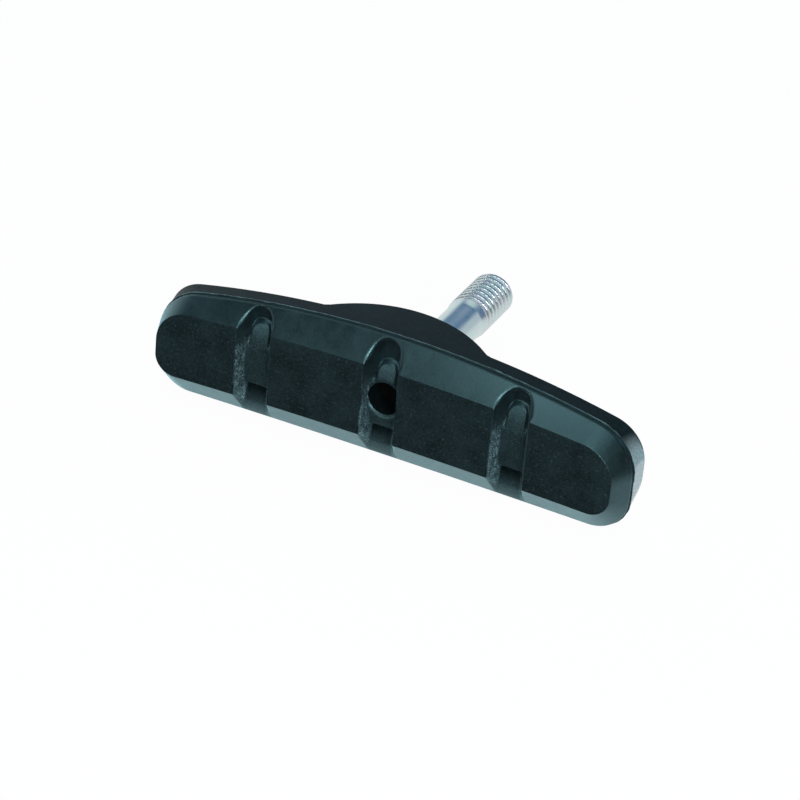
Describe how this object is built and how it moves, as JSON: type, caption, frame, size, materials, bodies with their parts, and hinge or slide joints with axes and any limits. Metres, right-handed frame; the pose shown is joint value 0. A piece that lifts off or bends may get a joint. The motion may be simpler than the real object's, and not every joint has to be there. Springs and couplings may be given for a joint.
{
  "type": "rim brake pad",
  "caption": "Moulded rubber bicycle rim brake pad with bevelled block, crowned water grooves, arched back boss and a steel stud with a threaded end.",
  "frame": {"origin": "on the stud's axis where the stud leaves the top of the boss", "axes": "+X along the pad, +Y along the stud away from the braking face, +Z towards the arched long edge"},
  "size_m": [0.0684, 0.0355, 0.0182],
  "materials": {
    "block_rubber": "moulded, satin bevels and fine matt braking face",
    "stud_steel": "bright zinc plate"
  },
  "bodies": {
    "root": {"brake_block": "block_rubber", "mounting_stud": "stud_steel"}
  },
  "joints": []
}
